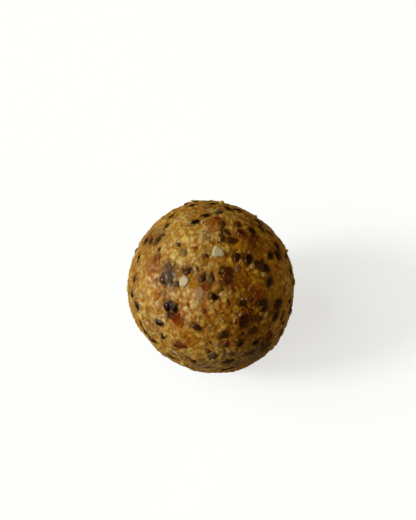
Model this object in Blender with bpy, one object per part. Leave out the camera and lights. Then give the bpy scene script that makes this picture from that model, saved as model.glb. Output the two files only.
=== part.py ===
"""An energy ball: a hand-rolled ball of oat, nut and date dough, set with chia seeds and bits of dried fruit.

It is one solid. The dough is a slightly uneven ball that has settled on a small flat. The seeds, the fruit,
the nut chips and the largest crumbs that show in its skin are fused to it, half sunk, each at its real size.
Those on the side that the photograph shows lie where they lie there. A seeded rule spreads the same mix over
the rest of the skin.
"""

import math
import random

import bmesh
import bpy
from mathutils import Matrix, Vector, noise

MM = 0.001

# The ball of dough, standing on z = 0 with its middle over the origin
BALL_RADIUS = 18.0 * MM
REST_FLAT_DEPTH = 1.0 * MM
CENTRE = Vector((0.0, 0.0, BALL_RADIUS - REST_FLAT_DEPTH))
CORE_CUTS = 11
LUMP_HEIGHT = 0.24 * MM
LUMPS_PER_METRE = 330.0
CRUMB_HEIGHT = 0.22 * MM
CRUMBS_PER_METRE = 800.0

# How the photograph, 416 x 520 pixels, looks at the ball: from the front and above
PHOTO_BALL_X = 211.5
PHOTO_BALL_Y = 287.0
PHOTO_FOCAL_LENGTH = 700.0
VIEW_ELEVATION = math.radians(57.0)
VIEW_DISTANCE = 150.0 * MM
RIGHT = Vector((1.0, 0.0, 0.0))
UP = Vector((0.0, math.sin(VIEW_ELEVATION), math.cos(VIEW_ELEVATION)))
TO_CAMERA = Vector((0.0, -math.cos(VIEW_ELEVATION), math.sin(VIEW_ELEVATION)))
SEEN_ANGLE = math.radians(85.0)
LEAST_FACING = 0.25

# Where the palms left the ball fuller or flatter than a true one. Each mark has its turn in the photograph's
# plane (degrees, anticlockwise from its right), how far it leans out of that plane to the camera (degrees),
# its half width (degrees) and its height (millimetres). Those that don't lean make the outline.
PALM_MARKS = (
    (100, 0, 14, 0.50),
    (130, 0, 14, 0.05),
    (162, 0, 14, -0.32),
    (222, 0, 18, -0.55),
    (285, 0, 20, 0.40),
    (312, 0, 14, 0.32),
    (350, 0, 16, -0.48),
    (12, 0, 18, -0.24),
    (55, 0, 14, -0.36),
    (30, -50, 24, -0.40),
    (170, -48, 22, 0.30),
    (255, -45, 22, -0.30),
    (200, 60, 24, 0.15),
)

# Chia seeds: length, width and thickness, and how far the flattest and the proudest stand out
SEED_SIZE = (2.2 * MM, 1.5 * MM, 1.0 * MM)
SEED_SIDES = 6
SEED_RINGS = 4
SEED_SIZE_SPREAD = (0.9, 1.08)
SEED_SHOWS = (0.10 * MM, 0.30 * MM)
HIDDEN_SEEDS = 104
SEED_CLEARANCE = 0.085

# Seeds on the side that shows, from its top down, left part, middle and right part of each band:
# pixel across, pixel down, turn of the long axis in degrees, and how far it stands out in millimetres
SEEN_SEEDS = (
    (171.5, 216, 45, 0.10), (166.5, 225.5, 65, 0.10), (187, 206, 40, 0.14), (193.5, 206, 8, 0.18),
    (204.5, 202, -4, 0.12), (195, 222, 25, 0.24), (206, 214.5, 12, 0.18), (218.5, 212, 20, 0.12),
    (213.5, 204.5, -10, 0.16), (228.5, 208, -25, 0.18), (239, 210, -30, 0.18), (222.5, 223, 80, 0.12),
    (238.5, 224, 80, 0.14), (259, 221, -50, 0.18), (262, 227.5, -60, 0.16), (252.5, 231.5, -75, 0.20),
    (270.5, 233, -45, 0.10), (145.5, 240, 80, 0.14), (150.5, 241, 75, 0.10), (157.5, 240, 60, 0.16),
    (159.5, 250, -65, 0.10), (138, 257.5, 75, 0.15), (178.5, 243.5, 80, 0.12), (184, 252.5, 80, 0.10),
    (226.5, 231.5, -40, 0.12), (222.5, 238, 80, 0.12), (231.5, 239.5, 0, 0.24), (237.5, 256.5, 75, 0.22),
    (248.5, 259, 85, 0.30), (277.5, 246.5, -75, 0.16), (271.5, 255, 80, 0.14), (278.5, 255.5, -35, 0.26),
    (287.5, 256.5, -75, 0.12), (262.5, 263, 80, 0.10), (257, 264, -60, 0.12), (267, 268.5, -65, 0.16),
    (270, 281.5, 70, 0.15), (135, 278.5, 60, 0.14), (132, 293.5, 82, 0.12), (136.5, 306, -75, 0.16),
    (162.5, 278.5, 82, 0.13), (177.5, 283.5, 15, 0.10), (188.5, 271.5, 33, 0.13), (203, 278.5, 62, 0.14),
    (210, 279, -50, 0.24), (227, 270.5, -5, 0.26), (238.5, 268, 85, 0.16), (291.5, 273, -70, 0.12),
    (291.5, 300, 85, 0.12), (292, 310, 66, 0.30), (168, 307.5, -70, 0.28), (174.5, 307.5, 80, 0.20),
    (215, 297.2, -15, 0.18), (242.5, 303, 0, 0.12), (262, 303, 12, 0.24), (264.5, 308.5, 35, 0.12),
    (279, 303, 30, 0.26), (276.5, 315, 75, 0.24), (283, 316.5, 60, 0.13), (281, 333, 60, 0.10),
    (141, 326, -60, 0.12), (145.5, 332.5, -50, 0.12), (159.5, 323, -12, 0.16), (152, 340.5, -35, 0.24),
    (162.5, 337, 80, 0.10), (197, 327.5, -20, 0.26), (224.5, 335.5, 10, 0.22), (252.5, 331, 20, 0.12),
    (240, 343, 80, 0.10), (256.5, 342, 65, 0.14), (266, 346, 50, 0.20), (171, 357.5, -35, 0.14),
    (193.5, 361.5, 70, 0.10), (213.5, 356, 80, 0.14), (232.5, 354, 0, 0.10), (251, 352, 20, 0.10),
    (228.5, 361, 20, 0.20), (231.5, 367, 15, 0.14), (223, 369.5, -5, 0.14),
)

# Bits of dried fruit, nut chips and the largest crumbs: thickness, and how far they stand out. They are
# flat above and below from this share of their height.
FRUIT_THICKNESS = 1.2 * MM
FRUIT_SHOWS = 0.16 * MM
CHIP_THICKNESS = 1.1 * MM
HIDDEN_CHIP_SHOWS = 0.28 * MM
BIT_ROUGHNESS = 0.12
BIT_PRESSED = 0.62
HIDDEN_FRUIT = 15
HIDDEN_CHIPS = 6
HIDDEN_BIT_LENGTH = (1.5, 2.6)
HIDDEN_BIT_WIDTH = 0.78
BIT_CLEARANCE = 0.12

# The same bits on the side that shows: pixel across, pixel down, turn, length and width in millimetres,
# and for a chip also how far it stands out in millimetres
SEEN_FRUIT = (
    (244, 320, 80, 3.3, 2.5), (227, 279, 85, 2.1, 1.6), (241, 233, -50, 2.0, 1.6),
    (156.5, 259, 60, 2.2, 1.9), (205, 287, 20, 1.7, 1.5), (177.5, 320, -65, 2.9, 2.2),
    (170.5, 314, 70, 1.8, 1.5), (182.5, 346, -20, 1.6, 1.1), (258, 294.5, 20, 2.4, 1.8),
    (268.5, 337, 68, 3.1, 2.0), (226, 344.5, 70, 1.6, 1.3), (158.5, 295, 30, 1.6, 1.4),
    (163.5, 345, -60, 1.5, 0.7), (217, 219, 10, 1.6, 1.4), (200, 347.5, -20, 2.4, 1.3),
)
SEEN_CHIPS = (
    (216.7, 252, -62, 2.7, 2.2, 0.28), (184.3, 281.5, 60, 2.5, 2.1, 0.26),
    (129.5, 288.5, 88, 2.2, 1.2, 0.42), (294, 282, 88, 2.1, 0.9, 0.42), (252.5, 266, 75, 1.6, 1.2, 0.22),
    (264, 274.5, 20, 1.5, 1.4, 0.22), (192.5, 202.3, 10, 1.2, 1.0, 0.45),
    (221.5, 203.8, 0, 1.2, 0.9, 0.45), (256, 215.7, 20, 1.0, 0.9, 0.42), (288, 250.3, 80, 1.0, 0.8, 0.42),
    (265.5, 314.5, 65, 1.8, 1.0, 0.24), (141.5, 316, -60, 2.0, 1.1, 0.26),
    (183, 364, -20, 1.4, 0.8, 0.26), (274.5, 343, 65, 1.4, 0.8, 0.26),
)

# Nothing stands out of the skin so near the floor that it would lift the ball off its flat
LEAST_HEIGHT = 1.2 * MM
SMOOTH_UNDER = math.radians(40.0)

# Where the bits lie on the side that doesn't show, and the lumps' corners
FRUIT_DRAW = random.Random(11)
CHIP_DRAW = random.Random(21)
SEED_DRAW = random.Random(31)
SHAPE_DRAW = random.Random(58)


def seen_at(x, y):
    """Direction from the ball's middle to the skin under a pixel of the photograph."""
    across = (x - PHOTO_BALL_X) / PHOTO_FOCAL_LENGTH
    down = (y - PHOTO_BALL_Y) / PHOTO_FOCAL_LENGTH
    ray = RIGHT * across - UP * down - TO_CAMERA
    camera = TO_CAMERA * VIEW_DISTANCE
    along = -camera.dot(ray) / ray.length_squared
    nearest = camera + ray * along
    if nearest.length > BALL_RADIUS:
        return nearest.normalized()
    back = math.sqrt(BALL_RADIUS**2 - nearest.length_squared) / ray.length
    return (camera + ray * (along - back)).normalized()


def long_axis(out, turn):
    """The direction along the skin that the photograph shows turned by this many degrees."""
    shown = RIGHT * math.cos(math.radians(turn)) + UP * math.sin(math.radians(turn))
    facing = max(out.dot(TO_CAMERA), LEAST_FACING)
    along = shown - TO_CAMERA * (shown.dot(out) / facing)
    return (along - out * along.dot(out)).normalized()


def palm_height(out):
    """How far the palms left the skin above or below a true ball."""
    height = 0.0
    for turn, lean, half_width, most in PALM_MARKS:
        flat = RIGHT * math.cos(math.radians(turn)) + UP * math.sin(math.radians(turn))
        mark = flat * math.cos(math.radians(lean)) + TO_CAMERA * math.sin(math.radians(lean))
        away = out.angle(mark) / math.radians(half_width)
        height += most * MM * math.exp(-0.5 * away * away)
    return height


def skin_radius(out):
    """Distance of the dough's skin from the ball's middle, without its crumbs."""
    lumps = noise.noise(out * BALL_RADIUS * LUMPS_PER_METRE)
    return BALL_RADIUS + palm_height(out) + LUMP_HEIGHT * lumps


def make_core():
    """The dough alone: a fine geodesic ball, pushed out to its uneven skin and cut off at the floor."""
    shape = bmesh.new()
    bmesh.ops.create_icosphere(shape, subdivisions=1, radius=1.0)
    bmesh.ops.subdivide_edges(shape, edges=shape.edges[:], cuts=CORE_CUTS, use_grid_fill=True)
    for vertex in shape.verts:
        out = vertex.co.normalized()
        crumbs = noise.noise(out * BALL_RADIUS * CRUMBS_PER_METRE)
        vertex.co = CENTRE + out * (skin_radius(out) + CRUMB_HEIGHT * crumbs)
    everything = shape.verts[:] + shape.edges[:] + shape.faces[:]
    cut = bmesh.ops.bisect_plane(
        shape, geom=everything, dist=0.0001 * MM, plane_co=(0, 0, 0), plane_no=(0, 0, 1), clear_inner=True
    )
    rim = [part for part in cut["geom_cut"] if isinstance(part, bmesh.types.BMEdge)]
    bmesh.ops.contextual_create(shape, geom=rim)
    bmesh.ops.recalc_face_normals(shape, faces=shape.faces[:])
    mesh = bpy.data.meshes.new("energy_ball")
    shape.to_mesh(mesh)
    shape.free()
    core = bpy.data.objects.new("energy_ball", mesh)
    bpy.context.scene.collection.objects.link(core)
    return core


def set_in_skin(shape, bits, out, along, thickness, shows):
    """Puts one bit, modelled flat about its own middle, in the skin with its top this far out."""
    across = out.cross(along)
    middle = CENTRE + out * (skin_radius(out) + shows - thickness / 2)
    turned = Matrix((along, across, out)).transposed().to_4x4()
    bmesh.ops.transform(shape, matrix=Matrix.Translation(middle) @ turned, verts=shape.verts)
    if min(vertex.co.z for vertex in shape.verts) > LEAST_HEIGHT:
        mesh = bpy.data.meshes.new("bit")
        shape.to_mesh(mesh)
        bits.objects.link(bpy.data.objects.new("bit", mesh))
    shape.free()


def add_seed(bits, out, along, shows):
    """A chia seed: a flattened oval."""
    size = SEED_DRAW.uniform(*SEED_SIZE_SPREAD)
    length, width, thickness = (side * size for side in SEED_SIZE)
    shape = bmesh.new()
    bmesh.ops.create_uvsphere(shape, u_segments=SEED_SIDES, v_segments=SEED_RINGS, radius=0.5)
    lying = Matrix.Rotation(math.radians(90), 4, "Y")
    bmesh.ops.transform(shape, matrix=Matrix.Diagonal((length, width, thickness, 1)) @ lying, verts=shape.verts)
    set_in_skin(shape, bits, out, along, thickness, shows)


def add_bit(bits, out, along, length, width, thickness, shows):
    """A chunk of fruit, a nut chip or a large crumb: a lump with uneven corners, pressed flat."""
    shape = bmesh.new()
    bmesh.ops.create_icosphere(shape, subdivisions=1, radius=0.5)
    for vertex in shape.verts:
        side = 1 + SHAPE_DRAW.uniform(-BIT_ROUGHNESS, BIT_ROUGHNESS)
        level = max(-0.5, min(0.5, vertex.co.z / BIT_PRESSED))
        vertex.co = Vector((vertex.co.x * side * length, vertex.co.y * side * width, level * thickness))
    set_in_skin(shape, bits, out, along, thickness, shows)


def spread_over(count, draw, clearance, taken):
    """Directions spread evenly over the skin that the photograph doesn't show, each clear of those taken."""
    whole = round(count / (0.5 * (1 + math.cos(SEEN_ANGLE))))
    golden_turn = math.pi * (3 - math.sqrt(5))
    found = []
    for step in range(whole):
        height = 1 - 2 * (step + 0.5) / whole
        ring = math.sqrt(1 - height * height)
        shift = Vector((draw.gauss(0, 1), draw.gauss(0, 1), draw.gauss(0, 1))) * clearance / 2
        angle = golden_turn * step
        out = (Vector((ring * math.cos(angle), ring * math.sin(angle), height)) + shift).normalized()
        if out.angle(TO_CAMERA) > SEEN_ANGLE and all(out.angle(other) > clearance for other in taken):
            found.append(out)
            taken.append(out)
    return found


def any_way_along(out, draw):
    """A direction along the skin, drawn at random."""
    drawn = Vector((draw.gauss(0, 1), draw.gauss(0, 1), draw.gauss(0, 1)))
    return (drawn - out * drawn.dot(out)).normalized()


def add_hidden_bits(bits, count, draw, thickness, shows, taken):
    """The same kind of bit over the skin that doesn't show."""
    for out in spread_over(count, draw, BIT_CLEARANCE, taken):
        length = draw.uniform(*HIDDEN_BIT_LENGTH) * MM
        along = any_way_along(out, draw)
        add_bit(bits, out, along, length, length * HIDDEN_BIT_WIDTH, thickness, shows)


def add_bits(bits):
    """Everything that is set in the skin, the largest first."""
    taken = []
    for x, y, turn, length, width in SEEN_FRUIT:
        out = seen_at(x, y)
        add_bit(bits, out, long_axis(out, turn), length * MM, width * MM, FRUIT_THICKNESS, FRUIT_SHOWS)
    add_hidden_bits(bits, HIDDEN_FRUIT, FRUIT_DRAW, FRUIT_THICKNESS, FRUIT_SHOWS, taken)
    for x, y, turn, length, width, shows in SEEN_CHIPS:
        out = seen_at(x, y)
        add_bit(bits, out, long_axis(out, turn), length * MM, width * MM, CHIP_THICKNESS, shows * MM)
    add_hidden_bits(bits, HIDDEN_CHIPS, CHIP_DRAW, CHIP_THICKNESS, HIDDEN_CHIP_SHOWS, taken)
    for x, y, turn, shows in SEEN_SEEDS:
        out = seen_at(x, y)
        add_seed(bits, out, long_axis(out, turn), shows * MM)
    for out in spread_over(HIDDEN_SEEDS, SEED_DRAW, SEED_CLEARANCE, taken):
        along = any_way_along(out, SEED_DRAW)
        add_seed(bits, out, along, SEED_DRAW.uniform(*SEED_SHOWS))


def fuse(core, bits):
    """Joins the dough and all that is set in it into one solid."""
    join = core.modifiers.new("join", "BOOLEAN")
    join.operation = "UNION"
    join.operand_type = "COLLECTION"
    join.collection = bits
    fused = bpy.data.meshes.new_from_object(core.evaluated_get(bpy.context.evaluated_depsgraph_get()))
    core.modifiers.clear()
    core.data = fused
    for piece in list(bits.objects):
        bpy.data.objects.remove(piece)
    bpy.data.collections.remove(bits)


def keep_outer_shell(core):
    """Fills any hollow that the joining sealed and drops any loose scrap: only the largest shell stays."""
    shape = bmesh.new()
    shape.from_mesh(core.data)
    unseen = set(shape.verts)
    shells = []
    while unseen:
        reached = [unseen.pop()]
        for vertex in reached:
            near = {edge.other_vert(vertex) for edge in vertex.link_edges} & unseen
            unseen -= near
            reached.extend(near)
        shells.append(reached)
    largest = max(shells, key=len)
    loose = [vertex for shell in shells if shell is not largest for vertex in shell]
    bmesh.ops.delete(shape, geom=loose, context="VERTS")
    shape.to_mesh(core.data)
    shape.free()


def give_finish(core):
    """The plain colour of the dough, with a soft, slightly moist surface."""
    dough = bpy.data.materials.new("dough")
    dough.use_nodes = True
    shader = dough.node_tree.nodes["Principled BSDF"]
    shader.inputs["Base Color"].default_value = (0.36, 0.19, 0.045, 1.0)
    shader.inputs["Roughness"].default_value = 0.55
    shader.inputs["Metallic"].default_value = 0.0
    core.data.materials.clear()
    core.data.materials.append(dough)
    core.data.shade_smooth()
    core.data.set_sharp_from_angle(angle=SMOOTH_UNDER)


for leftover in list(bpy.data.objects):
    bpy.data.objects.remove(leftover)
ball = make_core()
set_in = bpy.data.collections.new("set_in_the_skin")
bpy.context.scene.collection.children.link(set_in)
add_bits(set_in)
fuse(ball, set_in)
keep_outer_shell(ball)
give_finish(ball)
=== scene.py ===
"""The looks of an energy ball: dough of oats, nuts and dates, with chia seeds, dried fruit and nut chips.

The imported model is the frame. Everything here stands for its one node, the ball with its bits fused on, and
lies where that node has it. Lengths are in metres, and places on the side that the photograph shows are
pixels of its 416 x 520 frame.
"""

import math
import random

import bmesh
import bpy
from mathutils import Matrix, Vector, kdtree, noise


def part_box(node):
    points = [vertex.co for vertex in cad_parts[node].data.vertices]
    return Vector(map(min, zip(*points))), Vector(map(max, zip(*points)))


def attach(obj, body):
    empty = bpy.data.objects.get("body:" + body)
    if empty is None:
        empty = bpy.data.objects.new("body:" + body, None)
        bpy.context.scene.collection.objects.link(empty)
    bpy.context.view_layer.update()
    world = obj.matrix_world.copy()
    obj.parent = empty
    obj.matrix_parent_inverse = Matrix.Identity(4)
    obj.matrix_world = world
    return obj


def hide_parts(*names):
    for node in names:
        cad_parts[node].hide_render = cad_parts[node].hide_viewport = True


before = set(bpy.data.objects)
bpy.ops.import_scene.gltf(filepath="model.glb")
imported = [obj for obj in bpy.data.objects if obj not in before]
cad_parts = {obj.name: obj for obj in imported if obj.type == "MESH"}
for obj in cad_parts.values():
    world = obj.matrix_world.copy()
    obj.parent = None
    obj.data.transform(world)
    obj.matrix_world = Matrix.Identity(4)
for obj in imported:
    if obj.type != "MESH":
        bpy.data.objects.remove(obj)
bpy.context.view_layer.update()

# The ball's form. Dough is rolled between two palms, which leave it fuller here and flatter there, and it
# settles on a small flat when it is put down. The dough and all that is set in it follow this one skin.
MM = 0.001
BALL_RADIUS = 18.0 * MM
REST_FLAT_DEPTH = 1.0 * MM
FLOOR_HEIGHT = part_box("energy_ball")[0].z
CENTRE = Vector((0.0, 0.0, FLOOR_HEIGHT + BALL_RADIUS - REST_FLAT_DEPTH))
LUMP_HEIGHT = 0.24 * MM
LUMP_FINENESS = 330.0

PHOTO_WIDTH = 416
PHOTO_HEIGHT = 520
PHOTO_BALL_X = 211.5
PHOTO_BALL_Y = 287.0
PHOTO_FOCAL_LENGTH = 700.0
VIEW_ELEVATION = math.radians(57.0)
VIEW_DISTANCE = 150.0 * MM
RIGHT = Vector((1.0, 0.0, 0.0))
UP = Vector((0.0, math.sin(VIEW_ELEVATION), math.cos(VIEW_ELEVATION)))
TO_CAMERA = Vector((0.0, -math.cos(VIEW_ELEVATION), math.sin(VIEW_ELEVATION)))
SEEN_ANGLE = math.radians(85.0)
LEAST_FACING = 0.25

# One pixel at the ball, as a share of the ball's radius
PIXEL = VIEW_DISTANCE / PHOTO_FOCAL_LENGTH / BALL_RADIUS

# Turn in the photograph's plane, lean towards the camera, half width (degrees) and height (millimetres)
PALM_MARKS = (
    (100, 0, 14, 0.5), (130, 0, 14, 0.05), (162, 0, 14, -0.32), (222, 0, 18, -0.55), (285, 0, 20, 0.4),
    (312, 0, 14, 0.32), (350, 0, 16, -0.48), (12, 0, 18, -0.24), (55, 0, 14, -0.36), (30, -50, 24, -0.4),
    (170, -48, 22, 0.3), (255, -45, 22, -0.3), (200, 60, 24, 0.15),
)


def in_view(turn):
    """The direction in the photograph's plane that is turned by this many degrees."""
    return RIGHT * math.cos(math.radians(turn)) + UP * math.sin(math.radians(turn))


palm_marks = []
for turn, lean, half_width, most in PALM_MARKS:
    mark = in_view(turn) * math.cos(math.radians(lean)) + TO_CAMERA * math.sin(math.radians(lean))
    palm_marks.append((mark, math.radians(half_width), most * MM))


def uneven(place, fineness, shift=(0, 0, 0)):
    """Random unevenness from -1 to 1, with swells that are closer together the finer it is."""
    return noise.noise(place * fineness + Vector(shift))


def skin_radius(out):
    """Distance of the dough's skin from the ball's middle, without its crumbs."""
    radius = BALL_RADIUS + LUMP_HEIGHT * uneven(out * BALL_RADIUS, LUMP_FINENESS)
    for mark, half_width, most in palm_marks:
        away = out.angle(mark) / half_width
        radius += most * math.exp(-0.5 * away * away)
    return radius


def seen_at(x, y):
    """Direction from the ball's middle to the skin under a pixel of the photograph."""
    across = (x - PHOTO_BALL_X) / PHOTO_FOCAL_LENGTH
    down = (y - PHOTO_BALL_Y) / PHOTO_FOCAL_LENGTH
    ray = RIGHT * across - UP * down - TO_CAMERA
    camera = TO_CAMERA * VIEW_DISTANCE
    along = -camera.dot(ray) / ray.length_squared
    nearest = camera + ray * along
    if nearest.length > BALL_RADIUS:
        return nearest.normalized()
    back = math.sqrt(BALL_RADIUS**2 - nearest.length_squared) / ray.length
    return (camera + ray * (along - back)).normalized()


# The dough's colour. Juice from the fruit, oil from the nuts and the seeds' own dark skins stain the ground
# oats unevenly, so the dough goes from yellow to amber, brick, mauve and brown within a few millimetres.
DOUGH_COLOURS = {
    "golden": (0.45, 0.245, 0.045),
    "honey": (0.51, 0.225, 0.003),
    "pale": (0.68, 0.47, 0.115),
    "peach": (0.56, 0.31, 0.095),
    "amber": (0.35, 0.110, 0.003),
    "brown": (0.14, 0.040, 0.003),
    "jam": (0.36, 0.14, 0.055),
    "mauve": (0.165, 0.085, 0.040),
    "olive": (0.30, 0.165, 0.034),
    "slate": (0.075, 0.048, 0.026),
    # Tan: partly the dough's own colour, partly a painted sheen where it lies along the rims
    "tan": (0.36, 0.23, 0.12),
    "ash": (0.19, 0.140, 0.105),
}

# Pixel across and down, the stain's reach in pixels, its colour and its strength; later ones lie on top. The
# tan stains lie near the rims and are partly the dough's own colour, partly a painted sheen of light glancing
# off them.
SEEN_STAINS = (
    (262, 285, 36, "honey", 1.0), (232, 322, 32, "honey", 0.9), (262, 240, 26, "honey", 0.8),
    (190, 338, 16, "honey", 0.8), (178, 240, 24, "pale", 0.35), (188, 302, 20, "peach", 0.7),
    (146, 330, 14, "olive", 0.6), (285, 280, 11, "golden", 0.4), (150, 306, 20, "peach", 0.5),
    (170, 334, 14, "pale", 0.35), (150, 280, 14, "peach", 0.2), (186, 230, 12, "pale", 0.4),
    (240, 268, 10, "honey", 0.7), (175, 310, 16, "peach", 0.4), (143, 292, 16, "golden", 0.5),
    (257, 283, 15, "honey", 0.9), (215, 366, 14, "jam", 0.5), (280, 338, 12, "jam", 0.6),
    (244, 236, 9, "brown", 0.6), (246, 258, 8, "brown", 0.6), (286, 308, 8, "brown", 0.4),
    (272, 305, 9, "brown", 0.3), (270, 250, 8, "brown", 0.3), (222, 363, 14, "tan", 0.5),
    (205, 366, 12, "tan", 0.5), (248, 354, 12, "tan", 0.4), (266, 345, 10, "tan", 0.3),
    (275, 285, 8, "honey", 0.5), (268, 315, 8, "olive", 0.5), (205, 350, 12, "golden", 0.5),
    (250, 283, 10, "brown", 0.3), (212, 207, 9, "brown", 0.35), (150, 300, 12, "golden", 0.4),
    (288, 262, 7, "tan", 0.7), (289, 276, 7, "tan", 0.8), (289, 290, 7, "tan", 0.8),
    (286, 330, 9, "tan", 0.6), (258, 352, 18, "mauve", 0.9), (230, 364, 12, "mauve", 0.6),
    (196, 363, 13, "mauve", 0.7), (213, 368, 9, "peach", 0.5), (279, 330, 9, "jam", 0.7),
    (268, 227, 8, "olive", 0.6), (151, 266, 11, "jam", 0.7), (149, 238, 10, "brown", 0.8),
    (161, 234, 8, "mauve", 0.8), (146, 250, 7, "olive", 0.6), (185, 256, 9, "pale", 0.7),
    (190, 239, 8, "pale", 0.7), (174, 224, 8, "pale", 0.5), (173, 252, 7, "pale", 0.5),
    (203, 264, 6, "olive", 0.6), (184, 252, 4, "slate", 0.6), (215, 223, 9, "amber", 0.9),
    (229, 216, 6, "golden", 0.5), (205, 232, 7, "peach", 0.6), (206, 244, 6, "pale", 0.5),
    (250, 221, 8, "brown", 0.7), (254, 243, 10, "brown", 0.9), (241, 245, 6, "honey", 0.8),
    (278, 250, 9, "brown", 0.8), (255, 269, 6, "pale", 0.4), (263, 267, 6, "brown", 0.9),
    (245, 281, 11, "honey", 0.9), (230, 281, 9, "brown", 0.9), (258, 296, 10, "amber", 0.9),
    (258, 297, 6, "brown", 0.7), (269, 283, 6, "brown", 0.8), (277, 272, 6, "amber", 0.6),
    (266, 304, 9, "brown", 0.8), (276, 311, 8, "brown", 0.8), (257, 311, 6, "amber", 0.6),
    (267, 323, 6, "olive", 0.5), (223, 310, 8, "amber", 0.7), (210, 319, 8, "amber", 0.7),
    (213, 343, 8, "peach", 0.5), (243, 338, 10, "brown", 0.9), (256, 328, 8, "brown", 0.9),
    (212, 355, 7, "mauve", 0.8), (182, 336, 8, "amber", 0.6), (200, 344, 8, "amber", 0.7),
    (141, 316, 5, "pale", 0.8), (168, 270, 8, "slate", 0.9), (171, 281, 7, "slate", 0.9),
    (187, 271, 6, "brown", 0.9), (203, 277, 7, "brown", 0.8), (158, 297, 7, "amber", 0.7),
    (221, 330, 5, "pale", 0.5), (222, 296, 5, "pale", 0.6), (236, 296, 6, "golden", 0.5),
    (250, 316, 6, "brown", 0.6), (195, 221, 6, "brown", 0.6), (135, 300, 6, "brown", 0.5),
    (157, 322, 6, "brown", 0.5), (258, 352, 12, "ash", 0.8), (268, 342, 7, "ash", 0.5),
    (238, 361, 9, "ash", 0.5), (215, 366, 10, "tan", 0.5), (222, 352, 9, "tan", 0.45),
    (205, 351, 9, "pale", 0.3), (134, 290, 8, "tan", 0.45), (136, 310, 8, "tan", 0.4),
    (134, 270, 8, "tan", 0.4), (193, 283, 5, "honey", 0.9), (250, 283, 9, "amber", 0.6),
    (248, 290, 8, "brown", 0.2), (222, 322, 13, "brown", 0.15), (281, 294, 9, "golden", 0.4),
    (201, 216, 7, "pale", 0.4), (228, 215, 8, "pale", 0.5), (273, 287, 12, "golden", 0.6),
    (207, 351, 15, "pale", 0.3), (222, 318, 13, "golden", 0.35), (207, 207, 9, "brown", 0.4),
    (205, 245, 6, "amber", 0.35), (180, 257, 5, "pale", 0.4), (214, 366, 9, "peach", 0.3),
    (250, 283, 8, "amber", 0.35), (215, 232, 7, "tan", 0.25), (155, 261, 9, "jam", 0.22),
    (160, 273, 8, "jam", 0.22), (200, 288, 7, "jam", 0.2), (213, 330, 14, "brown", 0.12),
    (152, 322, 22, "tan", 0.3), (152, 346, 12, "tan", 0.25), (184, 361, 13, "tan", 0.25),
    (268, 228, 12, "tan", 0.3), (151, 232, 13, "tan", 0.2),
)
STAIN_REACH = (0.08, 0.30)
STAIN_STRENGTH = (0.4, 0.8)
STAIN_CLEARANCE = 0.1
FARTHEST_STAIN = 0.6
HIDDEN_STAINS = 90
COMMON_STAINS = (
    "honey", "pale", "brown", "amber", "peach", "mauve", "pale", "honey", "olive", "jam", "brown",
)


def any_vector(draw):
    """A vector drawn at random."""
    return Vector((draw.gauss(0, 1), draw.gauss(0, 1), draw.gauss(0, 1)))


def all_round(count, draw, scatter):
    """Directions spread evenly all round the ball, each moved a little at random."""
    golden_turn = math.pi * (3 - math.sqrt(5))
    for step in range(count):
        height = 1 - 2 * (step + 0.5) / count
        ring = math.sqrt(1 - height * height)
        angle = golden_turn * step
        even = Vector((ring * math.cos(angle), ring * math.sin(angle), height))
        yield (even + any_vector(draw) * scatter).normalized()


def out_of_view(count, draw, clearance, taken):
    """Directions spread evenly over the skin that the photograph hides, each clear of those taken."""
    whole = round(count / (0.5 * (1 + math.cos(SEEN_ANGLE))))
    found = []
    for out in all_round(whole, draw, clearance / 2):
        if out.angle(TO_CAMERA) > SEEN_ANGLE and all(out.angle(other) > clearance for other in taken):
            found.append(out)
            taken.append(out)
    return found


def search_tree(places):
    """A tree that finds the places near another, numbered in their order."""
    tree = kdtree.KDTree(len(places))
    for number, place in enumerate(places):
        tree.insert(place, number)
    tree.balance()
    return tree


stain_draw = random.Random(41)
stains = [(seen_at(x, y), reach * PIXEL, colour, strength) for x, y, reach, colour, strength in SEEN_STAINS]
for number, out in enumerate(out_of_view(HIDDEN_STAINS, stain_draw, STAIN_CLEARANCE, [])):
    reach = stain_draw.uniform(*STAIN_REACH)
    colour = COMMON_STAINS[number % len(COMMON_STAINS)]
    stains.append((out, reach, colour, stain_draw.uniform(*STAIN_STRENGTH)))
stain_tree = search_tree([stain[0] for stain in stains])


def stained(out):
    """The dough's colour there, with the stains' edges drawn out unevenly."""
    colour = Vector(DOUGH_COLOURS["golden"])
    wander = noise.noise_vector(out * 7.0) * 0.04 + noise.noise_vector(out * 19.0) * 0.03
    found = stain_tree.find_range(out + wander, FARTHEST_STAIN)
    for number, away in sorted((number, away) for place, number, away in found):
        middle, reach, name, strength = stains[number]
        weight = strength * math.exp(-((away / reach) ** 2))
        colour = colour.lerp(Vector(DOUGH_COLOURS[name]), weight)
    return colour


# Dried fruit: dates, cranberries and apricots, chopped and worked into the dough. The bits that came to the
# skin were pressed level with it. They are dark red to amber, moist, wrinkled and a little see-through.
FRUIT_THICKNESS = 1.2 * MM
FRUIT_SHOWS = 0.16 * MM
HIDDEN_FRUIT = 15
HIDDEN_BIT_LENGTH = (1.5, 2.6)
HIDDEN_BIT_WIDTH = 0.78
BIT_CLEARANCE = 0.12

# Nothing is set in so near the floor that it would lift the ball off its flat
LEAST_HEIGHT = 1.2 * MM

# Pixel across and down, turn, length and width in millimetres, and colour
SEEN_FRUIT = (
    (244, 320, 80, 3.6, 2.9, "wine"), (227, 278, 85, 2.3, 1.8, "maroon"),
    (241, 233, -50, 2.0, 1.6, "garnet"), (156.5, 259, 60, 2.2, 1.9, "rust"),
    (205, 287, 20, 1.7, 1.5, "rust"), (178.3, 320, -60, 3.0, 2.6, "amber"),
    (170.5, 314, 70, 1.8, 1.5, "wine"), (182.5, 346, -20, 1.6, 1.1, "red"),
    (258, 294.5, 20, 2.4, 1.8, "glow"), (268.5, 337, 68, 3.1, 2.0, "maroon"),
    (226, 344.5, 70, 1.6, 1.3, "maroon"), (158.5, 295, 30, 1.4, 1.1, "orange"),
    (163.5, 345, -60, 1.5, 0.7, "orange"), (217, 219, 10, 1.6, 1.4, "rust"),
    (200, 347.5, -20, 2.4, 1.3, "honey"),
)

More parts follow.
